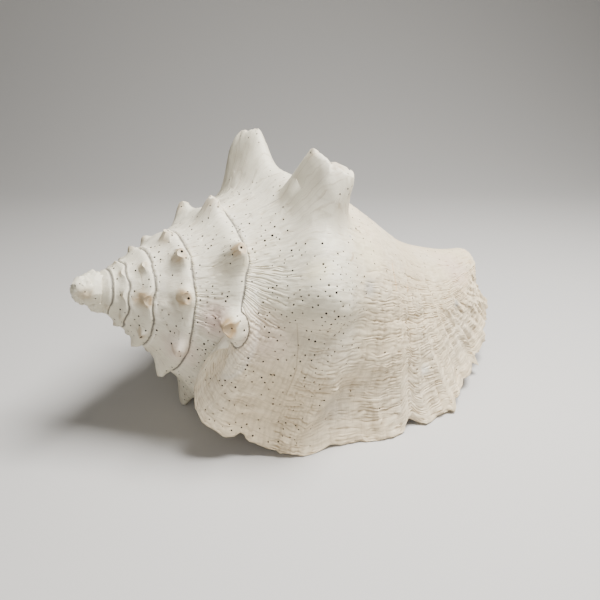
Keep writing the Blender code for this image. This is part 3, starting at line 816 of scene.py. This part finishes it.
# pits that worms and sponges bored, in mm
pits = {
    "sizes": (0.34, 0.42, 0.52),  # radius
    "mix": (0.5, 0.4, 0.1),       # part of the pits with each radius
    # place and radius of single ones: on the last whorl, in the broken tips, on the flare
    "large": (
        (-24.0, -28.6, 100.7, 0.7), (-5.0, -39.6, 100.2, 0.6), (-13.5, -42.1, 92.4, 0.7),
        (-16.0, -52.0, 79.2, 0.65), (-19.7, -56.2, 67.4, 0.7), (2.3, -58.2, 44.1, 0.55),
        (-3.1, -38.8, 103.0, 0.45), (-0.4, -39.3, 104.0, 0.45), (-18.6, -36.7, 95.9, 0.6),
        (-35.0, -65.8, 65.8, 0.95), (-33.6, -66.8, 63.6, 0.85), (-68.3, -51.1, 71.4, 0.9),
        (-52.8, -54.9, 74.9, 0.7), (-30.3, -48.2, 94.3, 0.6), (-55.7, -43.0, 91.4, 0.6),
        (-72.1, -42.8, 85.2, 0.55), (-74.0, -50.3, 61.8, 0.8), (-74.2, -50.7, 55.0, 0.75),
        (-91.5, -48.1, 70.1, 1.0), (-81.6, -49.0, 68.7, 0.7), (-34.5, -59.7, 35.5, 0.5),
        (-10.7, -59.9, 30.4, 0.6), (-3.8, -57.8, 24.9, 0.95), (-3.2, -57.9, 26.4, 0.7),
        (69.6, 19.8, 56.4, 0.8), (30.0, -41.3, 42.6, 0.45), (44.6, -31.5, 29.8, 0.45),
        (59.0, -19.8, 26.5, 0.45), (29.8, -43.6, 13.9, 0.5), (22.9, -44.3, 33.0, 0.45),
    ),
    "depth": 2.2,                 # in radii
    "taper": 0.72,
    "count": 3600,                # places tried; those on faces too small for a round mouth stay shut
    "apart": 1.7,
    "smallest": 0.2,              # least radius of a mouth that is cut
    "cell": 4.0,                  # edge of the cells in which near pits are looked up
    "flatness": 0.35,             # least cosine between the skin's ways in and round a pit
    "flatReach": 1.6,
    "sides": 7,
    "seed": 5,
}


def pitTree():
    # each face that has a pit's radius is pushed in, in proportion to it, and its floor made smaller
    tree, given, result = newTree("bored pits", ("depth", "taper"), ("shell",))
    add = partial(addNode, tree)
    mouth = add("GeometryNodeInputNamedAttribute", {"Name": "pitRadius"}, data_type="FLOAT")
    chosen = add("ShaderNodeMath", {0: mouth, 1: 0.0001}, operation="GREATER_THAN")
    inward = add("ShaderNodeMath", {0: given["depth"], 1: mouth}, operation="MULTIPLY")
    inward = add("ShaderNodeMath", {0: inward, 1: -mm}, operation="MULTIPLY")
    inputs = {"Mesh": given["Geometry"], "Selection": chosen, "Offset Scale": inward, "Individual": True}
    dug = add("GeometryNodeExtrudeMesh", inputs).node.outputs
    inputs = {"Geometry": dug["Mesh"], "Selection": dug["Top"], "Scale": given["taper"]}
    floor = add("GeometryNodeScaleElements", inputs)
    # the pit's faces are marked for the painted shade in them
    either = add("FunctionNodeBooleanMath", {0: dug["Top"], 1: dug["Side"]}, operation="OR")
    inputs = {"Geometry": floor, "Name": "pit", "Value": either}
    marked = add("GeometryNodeStoreNamedAttribute", inputs, data_type="FLOAT", domain="FACE")
    real = add("GeometryNodeRealizeInstances", {"Geometry": marked})
    inputs = {"Geometry": real, "Selection": either, "Material": given["shell"]}
    tree.links.new(add("GeometryNodeSetMaterial", inputs), result[0])
    return tree


def throughNodes(obj, tree, values):
    nodes = obj.modifiers.new(tree.name, "NODES")
    nodes.node_group = tree
    for item in tree.interface.items_tree:
        if item.in_out == "INPUT" and item.name in values:
            nodes[item.identifier] = values[item.name]
    mesh = bpy.data.meshes.new_from_object(obj.evaluated_get(bpy.context.evaluated_depsgraph_get()))
    obj.modifiers.remove(nodes)
    obj.data = mesh


thinning = {
    "triangles": 128000,
    "kept": 0.8,                  # mm either side of a seam where no triangle goes
    "sharpFrom": 55.0,            # degrees between faces from which an edge is drawn sharp
}


def thinOut(obj):
    # fewer triangles where the skin is plain
    now = sum(len(face.vertices) - 2 for face in obj.data.polygons)
    over = np.zeros(len(obj.data.vertices), np.float32)
    obj.data.attributes["over"].data.foreach_get("value", over)
    kept = obj.vertex_groups.new(name="kept")
    kept.add(np.flatnonzero(np.abs(over) < thinning["kept"]).tolist(), 1.0, "REPLACE")
    thin = obj.modifiers.new("thin", "DECIMATE")
    thin.vertex_group, thin.invert_vertex_group = "kept", True
    thin.ratio = thinning["triangles"] / now
    thin.use_collapse_triangulate = True
    mesh = bpy.data.meshes.new_from_object(obj.evaluated_get(bpy.context.evaluated_depsgraph_get()))
    obj.modifiers.remove(thin)
    obj.data = mesh
    obj.vertex_groups.clear()


def pitPlaces(mesh):
    # where pits go: the single ones, then chance ones spread by the skin's area and kept apart
    rng = np.random.default_rng(pits["seed"])
    places = np.array([vert.co for vert in mesh.vertices]) / mm
    bored, inside = np.zeros(len(places), np.float32), np.zeros(len(places), np.float32)
    mesh.attributes["bored"].data.foreach_get("value", bored)
    mesh.attributes["inside"].data.foreach_get("value", inside)
    corners = np.array([face.vertices[:3] for face in mesh.polygons])
    sides = [places[corners[:, n]] - places[corners[:, 0]] for n in (1, 2)]
    faceArea = np.linalg.norm(np.cross(*sides), axis=1)
    area = np.bincount(corners.reshape(-1), np.repeat(faceArea, 3), len(places))
    chance = bored * (inside < 0.1) * np.minimum(area, np.percentile(area, 95)) + 1e-9
    order = np.argsort(rng.exponential(size=len(places)) / chance)[:12 * pits["count"]]
    order = order[chance[order] > 1e-3]
    tree = KDTree(len(places))
    for index, place in enumerate(places):
        tree.insert(place, index)
    tree.balance()
    facing = np.array([vert.normal for vert in mesh.vertices])
    chosen, sizes, cells = [], [], {}

    def flatAt(index, size):
        # no pit on a crest so thin that its mouth would reach round to the other side
        beside = [n for _, n, _ in tree.find_range(Vector(places[index]), size + pits["flatReach"])]
        return np.min(facing[beside] @ facing[index]) > pits["flatness"]

    for *place, size in pits["large"]:
        index = tree.find(Vector(place))[1]
        if flatAt(index, 0.0):
            chosen.append(index)
            sizes.append(size)

    def cellOf(index):
        return tuple(int(c) for c in places[index] // pits["cell"])

    for index in chosen:
        cells.setdefault(cellOf(index), []).append(index)
    for index in order:
        if len(chosen) >= pits["count"]:
            break
        a, b, c = cellOf(index)
        nearCells = [(a + x, b + y, c + z) for x in (-1, 0, 1) for y in (-1, 0, 1) for z in (-1, 0, 1)]
        near = [n for cell in nearCells for n in cells.get(cell, ())]
        room = pits["apart"] * (0.75 + 0.9 * rng.uniform() ** 2)
        if all(np.linalg.norm(places[n] - places[index]) > room for n in near) and flatAt(index, 0.4):
            chosen.append(index)
            sizes.append(rng.choice(pits["sizes"], p=pits["mix"]))
            cells.setdefault(cellOf(index), []).append(index)
    gone = set()
    for index, size in zip(chosen, sizes):
        gone.update([index] + [n for _, n, _ in tree.find_range(Vector(places[index]), size * 1.25)])
    return places[chosen], sizes, sorted(gone)


def cutMouth(solid, face, centre, size):
    # a round mouth in a face: its corners and the circle's are joined in the order of their angles
    side = (face.verts[0].co - centre).normalized()
    side = (side - side.dot(face.normal) * face.normal).normalized()
    rise = face.normal.cross(side)
    ring = list(face.verts)
    flat = [((vert.co - centre).dot(side), (vert.co - centre).dot(rise)) for vert in ring]
    angles = np.unwrap([math.atan2(y, x) for x, y in flat])
    if np.any(np.diff(angles) <= 0.02) or angles[-1] - angles[0] > 2 * math.pi - 0.02:
        return None
    edges = zip(flat, flat[1:] + flat[:1])
    apart = [abs(x * v - y * u) / math.hypot(u - x, v - y) for (x, y), (u, v) in edges]
    radius = float(min(size * mm, 0.9 * min(apart)))
    if radius < pits["smallest"] * mm:
        return None
    turns = angles[0] + 2 * math.pi * np.arange(pits["sides"]) / pits["sides"]
    circle = []
    for turn in turns:
        place = centre + radius * (math.cos(turn) * side + math.sin(turn) * rise)
        circle.append(solid.verts.new(place, ring[int(np.argmin(np.abs(angles - turn)))]))
    outer, inner = np.append(angles, angles[0] + 2 * math.pi), np.append(turns, turns[0] + 2 * math.pi)
    i = j = 0
    solid.faces.remove(face)
    while i < len(ring) or j < len(circle):
        a, b = ring[i % len(ring)], circle[j % len(circle)]
        if j == len(circle) or (i < len(ring) and outer[i + 1] <= inner[j + 1]):
            i += 1
            solid.faces.new((a, ring[i % len(ring)], b))
        else:
            j += 1
            solid.faces.new((a, circle[j % len(circle)], b))
    return solid.faces.new(circle)


def openPits(mesh):
    # the vertices in a pit's mouth are dissolved to one face, and a round mouth is cut in it
    middles, sizes, gone = pitPlaces(mesh)
    solid = bmesh.new()
    solid.from_mesh(mesh)
    radius = solid.faces.layers.float.new("pitRadius")
    solid.verts.ensure_lookup_table()
    bmesh.ops.dissolve_verts(solid, verts=[solid.verts[n] for n in gone])
    solid.normal_update()
    mouths = KDTree(len(middles))
    for n, middle in enumerate(middles):
        mouths.insert(middle, n)
    mouths.balance()
    done, opened = set(), 0
    for face in [face for face in solid.faces if len(face.verts) > 3]:
        middle, n, away = mouths.find(face.calc_center_median() / mm)
        if away > 1.5 or n in done:
            continue
        done.add(n)
        centre = Vector(middle) * mm
        centre -= (centre - face.calc_center_median()).dot(face.normal) * face.normal
        mouth = cutMouth(solid, face, centre, sizes[n])
        if mouth is not None:
            mouth[radius] = sizes[n]
            opened += 1
    rest = [face for face in solid.faces if len(face.verts) > 3 and not face[radius]]
    bmesh.ops.triangulate(solid, faces=rest)
    solid.to_mesh(mesh)
    solid.free()
    return opened


# colours of an old shell bleached by the sun, the patterns they come in, and painted shade in its grooves,
# seams and pits; sizes in mm
paint = {
    "chalk": "#DDD6BF",
    "cream": "#E8D6B4",
    "rib": "#F0E8D6",
    # growth-line bands and cracks, and the painted shade in the grooves
    "line": "#9C8769",
    "tan": "#A68659",
    # near-black, for the painted shade inside the pits
    "brown": "#2A1D14",
    # the painted shade along the seams where two whorls meet, also used for one crack
    "seamShade": "#57524B",
    "blush": "#D9BDAF",
    "grey": "#A6A6A4",
    "orange": "#D9A25C",
    "straw": "#E6D9AE",
    "roughness": 0.62,
    "bump": 0.24,                 # height of the finest grain and lines
    # clouds: size of one patch
    "clouds": {"sway": 11.1, "pale": 33.3, "speckle": 22.2, "ragged": 3.85, "grain": 0.714},
    # streaks: width of one along the growth, its width across it, and how much finer they go
    "streaks": {"growthBands": (0.909, 20.0, 3.0), "cordBands": (20.0, 1.053, 2.0)},
    "sway": 4.0,                  # how far the streaks wander
    # layers: pattern, where it begins and is full, what it is held to, strength, colour
    "layers": (
        ("pale", 0.45, 0.7, None, 0.35, "rib"),
        ("growthBands", 0.53, 0.68, None, 0.42, "line"),
        ("cordBands", 0.54, 0.7, "cream", 0.28, "line"),
        ("speckle", 0.55, 0.8, "bored", 0.2, "tan"),
    ),
    # stains, and one patch of painted shade: colour, place, radius, strength
    "stainsAndShade": (
        ("blush", (-41.0, -55.0, 65.0), 10.0, 0.75), ("blush", (80.0, 30.0, 60.0), 17.0, 0.5),
        ("blush", (-22.0, -57.0, 58.0), 16.0, 0.3), ("blush", (-58.0, -52.0, 50.0), 12.0, 0.4),
        ("straw", (2.0, -52.0, 84.0), 8.0, 0.7), ("straw", (22.0, -30.0, 84.0), 12.0, 0.4),
        ("grey", (23.0, -42.9, 74.3), 5.0, 0.5), ("grey", (76.3, 13.1, 42.6), 3.0, 0.6),
        ("grey", (15.0, -32.5, 94.1), 1.0, 0.9),
        # the grey patch at the end of the next line is painted shade on the face past the flare's lower ridge
        ("orange", (19.9, -47.0, 45.7), 0.8, 0.5), ("grey", (8.0, -53.0, 20.0), 12.0, 0.3),
        ("rib", (53.9, -24.4, 23.6), 4.0, 0.8), ("rib", (6.1, -55.2, 37.5), 3.0, 0.8),
        ("tan", (-96.0, -50.0, 74.5), 4.5, 0.5),
    ),
    # fine lines: colour, half width, the way the skin faces, points
    "lines": (
        ("line", 0.22, (0.0, -1.0, 0.0), (
            (-8.0, -60.3, 65.3), (-7.6, -59.7, 54.4), (-8.5, -60.3, 44.4), (-12.8, -60.3, 32.1))),
        ("line", 0.22, (0.0, -1.0, 0.0), ((-8.1, -60.8, 40.8), (-4.3, -60.0, 35.4), (-0.3, -57.9, 30.6))),
        # a crack, drawn in the colour of the painted shade along the seams
        ("seamShade", 0.2, (-0.4, -0.5, 0.7), (
            (-17.2, -24.0, 109.2), (-20.5, -22.5, 105.9), (-27.3, -24.5, 102.0), (-29.5, -27.3, 100.1))),
        ("tan", 0.5, (0.75, -0.4, 0.5), ((15.5, -39.5, 88.9), (15.4, -42.0, 87.6), (13.9, -45.1, 87.3))),
        ("orange", 0.35, (0.7, -0.5, 0.45), ((34.6, -21.0, 77.0), (35.3, -24.3, 75.4), (36.8, -29.7, 67.9))),
        ("orange", 0.35, (0.7, -0.5, 0.45), ((43.5, -18.5, 66.2), (43.5, -20.9, 63.4))),
    ),
    "lineStrength": 0.45,
    "lineDepth": 6.0,             # a line is drawn this far out and in from its points
    "seamShadeWidth": (0.34, 0.1),     # where the painted shade along the seam begins and is full
    "seamShadeStrength": 0.85,
}


def shellPaint():
    # bleached, chalky aragonite worn by the beach: matt, with fine growth lines and stains; painted shade
    # darkens the pits, the grooves, the seams and one face of the flare
    made = bpy.data.materials.new("bleached shell")
    made.use_nodes = True
    tree = made.node_tree
    surface = tree.nodes["Principled BSDF"]
    add = partial(addNode, tree)
    maths, vectors = "ShaderNodeMath", "ShaderNodeVectorMath"
    mapRange, mix = "ShaderNodeMapRange", "ShaderNodeMix"
    names = ("growth", "spread", "cream", "bored", "lineGroove", "cordGroove", "rim", "tan", "over", "pit")
    field = {name: add("ShaderNodeAttribute", out="Fac", attribute_name=name) for name in names}
    place = add("ShaderNodeTexCoord", out="Object")
    millimetres = add(vectors, {0: place, "Scale": 1 / mm}, operation="SCALE")

    pattern = {}
    for name, size in paint["clouds"].items():
        inputs = {"Vector": place, "Scale": 1 / (size * mm), "Detail": 3.0, "Roughness": 0.6}
        pattern[name] = add("ShaderNodeTexNoise", inputs)
    # one unit of these two is a millimetre along and across the growth of the last whorl
    sway = add(maths, {0: pattern["sway"], 1: paint["sway"]}, operation="MULTIPLY")
    lengthwise = add(maths, {0: field["growth"], 1: sway}, operation="ADD")
    crosswise = add(maths, {0: field["spread"], 1: sway}, operation="ADD")
    for name, (length, width, detail) in paint["streaks"].items():
        x = add(maths, {0: lengthwise, 1: length}, operation="DIVIDE")
        y = add(maths, {0: crosswise, 1: width}, operation="DIVIDE")
        inputs = {"Vector": add("ShaderNodeCombineXYZ", {"X": x, "Y": y}), "Scale": 1.0, "Detail": detail}
        pattern[name] = add("ShaderNodeTexNoise", {**inputs, "Roughness": 0.6})

    inputs = {0: field["cream"], 6: colour(paint["chalk"]), 7: colour(paint["cream"])}
    body = add(mix, inputs, out=2, data_type="RGBA")
    for name, low, high, heldTo, strength, tint in paint["layers"]:
        shown = add(mapRange, {"Value": pattern[name], "From Min": low, "From Max": high})
        if heldTo:
            shown = add(maths, {0: shown, 1: field[heldTo]}, operation="MULTIPLY")
        shown = add(maths, {0: shown, 1: strength}, operation="MULTIPLY")
        body = add(mix, {0: shown, 6: body, 7: colour(paint[tint])}, out=2, data_type="RGBA")
    # painted shade: the grooves between growth lines and cords are darkened
    grooveShade = add(maths, {0: field["cordGroove"], 1: 0.8}, operation="MULTIPLY")
    grooveShade = add(maths, {0: field["lineGroove"], 1: grooveShade}, operation="ADD")
    raised = ((grooveShade, 0.95, "line"), (field["rim"], 0.6, "rib"), (field["tan"], 0.95, "tan"))
    for value, strength, tint in raised:
        shown = add(maths, {0: value, 1: strength}, operation="MULTIPLY", use_clamp=True)
        body = add(mix, {0: shown, 6: body, 7: colour(paint[tint])}, out=2, data_type="RGBA")

    ragged = add(maths, {0: pattern["ragged"], 1: 0.6}, operation="MULTIPLY")
    ragged = add(maths, {0: 0.7, 1: ragged}, operation="ADD")
    # stains, and one grey patch of painted shade
    for tint, middle, size, strength in paint["stainsAndShade"]:
        far = add(vectors, {0: millimetres, 1: middle}, out="Value", operation="DISTANCE")
        far = add(maths, {0: far, 1: ragged}, operation="MULTIPLY")
        shown = add(mapRange, {"Value": far, "From Min": size, "From Max": 0.3 * size})
        shown = add(maths, {0: shown, 1: strength}, operation="MULTIPLY")
        body = add(mix, {0: shown, 6: body, 7: colour(paint[tint])}, out=2, data_type="RGBA")

    # a fine line is where the skin crosses a plane through two points, between those points
    for tint, width, facing, points in paint["lines"]:
        for a, b in zip(points, points[1:]):
            step = np.array(b) - np.array(a)
            beside, out = tuple(unit(np.cross(step, facing))), tuple(unit(np.array(facing)))
            off = add(vectors, {0: millimetres, 1: a}, operation="SUBTRACT")
            aside = add(vectors, {0: off, 1: beside}, out="Value", operation="DOT_PRODUCT")
            aside = add(maths, {0: aside}, operation="ABSOLUTE")
            shown = add(mapRange, {"Value": aside, "From Min": 1.5 * width, "From Max": 0.6 * width})
            share = tuple(step / np.dot(step, step))
            part = add(vectors, {0: off, 1: share}, out="Value", operation="DOT_PRODUCT")
            part = add(maths, {0: part, 1: 0.5}, operation="SUBTRACT")
            part = add(maths, {0: part}, operation="ABSOLUTE")
            part = add(maths, {0: part, 1: 0.51}, operation="LESS_THAN")
            level = add(vectors, {0: off, 1: out}, out="Value", operation="DOT_PRODUCT")
            level = add(maths, {0: level}, operation="ABSOLUTE")
            level = add(maths, {0: level, 1: paint["lineDepth"]}, operation="LESS_THAN")
            for mask in (part, level, paint["lineStrength"]):
                shown = add(maths, {0: shown, 1: mask}, operation="MULTIPLY")
            body = add(mix, {0: shown, 6: body, 7: colour(paint[tint])}, out=2, data_type="RGBA")

    # painted shade: a dark line along the seam where two whorls meet, where the crease lies in shade
    seamShade = add(maths, {0: field["over"]}, operation="ABSOLUTE")
    low, high = paint["seamShadeWidth"]
    seamShade = add(mapRange, {"Value": seamShade, "From Min": low, "From Max": high})
    seamShade = add(maths, {0: seamShade, 1: paint["seamShadeStrength"]}, operation="MULTIPLY")
    body = add(mix, {0: seamShade, 6: body, 7: colour(paint["seamShade"])}, out=2, data_type="RGBA")
    # painted shade: the pits' walls and floors go near-black, as the holes would lie in shade
    body = add(mix, {0: field["pit"], 6: body, 7: colour(paint["brown"])}, out=2, data_type="RGBA")
    tree.links.new(body, surface.inputs["Base Color"])
    surface.inputs["Roughness"].default_value = paint["roughness"]

    cords = add(maths, {0: pattern["cordBands"], 1: field["cream"]}, operation="MULTIPLY")
    height = 0.0
    for value, strength in ((pattern["growthBands"], 0.5), (cords, 0.4), (pattern["grain"], 0.25)):
        part = add(maths, {0: value, 1: strength}, operation="MULTIPLY")
        height = add(maths, {0: height, 1: part}, operation="ADD")
    bump = add("ShaderNodeBump", {"Height": height, "Distance": paint["bump"] * mm, "Strength": 0.9})
    tree.links.new(bump, surface.inputs["Normal"])
    return made


# the smooth layer inside the mouth; size of one cloud in mm
lining = {
    "deep": "#E6B9A2",
    "pale": "#F0DCCB",
    "roughness": 0.24,
    "cloud": 45.5,
}


def mouthPaint():
    # porcelain-like aragonite that the living mantle polished: smooth and glossy, clouded pink
    made = bpy.data.materials.new("porcelain mouth")
    made.use_nodes = True
    tree = made.node_tree
    surface = tree.nodes["Principled BSDF"]
    place = addNode(tree, "ShaderNodeTexCoord", out="Object")
    inputs = {"Vector": place, "Scale": 1 / (lining["cloud"] * mm), "Detail": 2.0}
    cloud = addNode(tree, "ShaderNodeTexNoise", inputs)
    inputs = {0: cloud, 6: colour(lining["pale"]), 7: colour(lining["deep"])}
    body = addNode(tree, "ShaderNodeMix", inputs, out=2, data_type="RGBA")
    tree.links.new(body, surface.inputs["Base Color"])
    surface.inputs["Roughness"].default_value = lining["roughness"]
    return made


def buildShell():
    shell = bpy.data.objects.new("conchShell", joinSkins())
    bpy.context.scene.collection.objects.link(shell)
    print("skins", len(shell.data.polygons))
    coat, glaze = shellPaint(), mouthPaint()
    throughNodes(shell, reliefTree(), {**relief, "shell": coat, "mouth": glaze})
    print("relief", len(shell.data.polygons))
    thinOut(shell)
    print("thinned", len(shell.data.polygons))
    opened = openPits(shell.data)
    print("pits", opened)
    throughNodes(shell, pitTree(), {"depth": pits["depth"], "taper": pits["taper"], "shell": coat})
    solid = bmesh.new()
    solid.from_mesh(shell.data)
    bmesh.ops.holes_fill(solid, edges=[edge for edge in solid.edges if edge.is_boundary])
    bmesh.ops.triangulate(solid, faces=solid.faces)
    for vert in solid.verts:      # chance relief stays within the part's own size
        vert.co = [min(max(c, low), high) for c, low, high in zip(vert.co, *cadBox)]
    print("open edges", sum(not edge.is_manifold for edge in solid.edges), "triangles", len(solid.faces))
    solid.to_mesh(shell.data)
    solid.free()
    shell.data.shade_smooth()
    shell.data.set_sharp_from_angle(angle=math.radians(thinning["sharpFrom"]))
    return shell


# paper, lamps and camera; places and sizes in mm, angles in degrees
studio = {
    "floor": "#C4C1BC",
    "floorRoughness": 0.9,
    "floorDrop": 0.3,             # how far the paper lies under the shell
    "floorHalfWidth": 3500.0,
    "floorFront": -2500.0,
    "floorTop": 3000.0,
    "sweepStart": 420.0,
    "sweepRadius": 500.0,
    "sweepSteps": 24,
    "cameraAt": (-6.82, -284.7, 174.4),
    "cameraTilt": 66.4,
    "cameraAngle": 52.0,
    "aim": (0.0, 0.0, 50.0),
    "keyAt": (170.0, -40.0, 520.0),
    "keyPower": 9.0,
    "keySize": 240.0,
    "fillAt": (-60.0, -560.0, 330.0),
    "fillPower": 1.0,
    "fillSize": 400.0,
    "sky": 0.16,
    "skyColour": (1.0, 0.99, 0.97, 1.0),
}


def areaLight(name, at, power, size):
    data = bpy.data.lights.new(name, "AREA")
    data.energy, data.size = power, size * mm
    light = bpy.data.objects.new(name, data)
    light.location = [c * mm for c in at]
    way = Vector(np.array(studio["aim"]) - np.array(at))
    light.rotation_euler = way.to_track_quat("-Z", "Y").to_euler()
    bpy.context.scene.collection.objects.link(light)
    return light


def buildFloor():
    # paper sweep: flat, then curving up behind the shell
    bend = np.linspace(0, math.pi / 2, studio["sweepSteps"])
    radius, back = studio["sweepRadius"] * mm, studio["sweepStart"] * mm
    drop, side = studio["floorDrop"] * mm, studio["floorHalfWidth"] * mm
    profile = [(studio["floorFront"] * mm, -drop)]
    profile += [(back + radius * math.sin(a), radius * (1 - math.cos(a)) - drop) for a in bend]
    profile.append((back + radius, studio["floorTop"] * mm))
    points = [(x, y, z) for y, z in profile for x in (-side, side)]
    mesh = bpy.data.meshes.new("floor")
    mesh.from_pydata(points, [], [(2 * n, 2 * n + 1, 2 * n + 3, 2 * n + 2) for n in range(len(profile) - 1)])
    mesh.shade_smooth()
    floor = bpy.data.objects.new("floor", mesh)
    bpy.context.scene.collection.objects.link(floor)
    # uncoated paper: no shine at all
    paper = bpy.data.materials.new("matt paper")
    paper.use_nodes = True
    surface = paper.node_tree.nodes["Principled BSDF"]
    surface.inputs["Base Color"].default_value = colour(studio["floor"])
    surface.inputs["Roughness"].default_value = studio["floorRoughness"]
    mesh.materials.append(paper)
    return floor


def buildStudio():
    floor = buildFloor()
    key = areaLight("key", studio["keyAt"], studio["keyPower"], studio["keySize"])
    fill = areaLight("fill", studio["fillAt"], studio["fillPower"], studio["fillSize"])
    world = bpy.data.worlds.new("soft sky")
    world.use_nodes = True
    world.node_tree.nodes["Background"].inputs["Color"].default_value = studio["skyColour"]
    world.node_tree.nodes["Background"].inputs["Strength"].default_value = studio["sky"]
    bpy.context.scene.world = world
    data = bpy.data.cameras.new("camera")
    data.angle = math.radians(studio["cameraAngle"])
    data.clip_start = 0.01
    camera = bpy.data.objects.new("camera", data)
    camera.location = [c * mm for c in studio["cameraAt"]]
    camera.rotation_euler = (math.radians(studio["cameraTilt"]), 0, 0)
    bpy.context.scene.collection.objects.link(camera)
    bpy.context.scene.camera = camera


shell = buildShell()
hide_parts("conch_shell")
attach(shell, "root")
print("shell placed")
buildStudio()
print("studio")
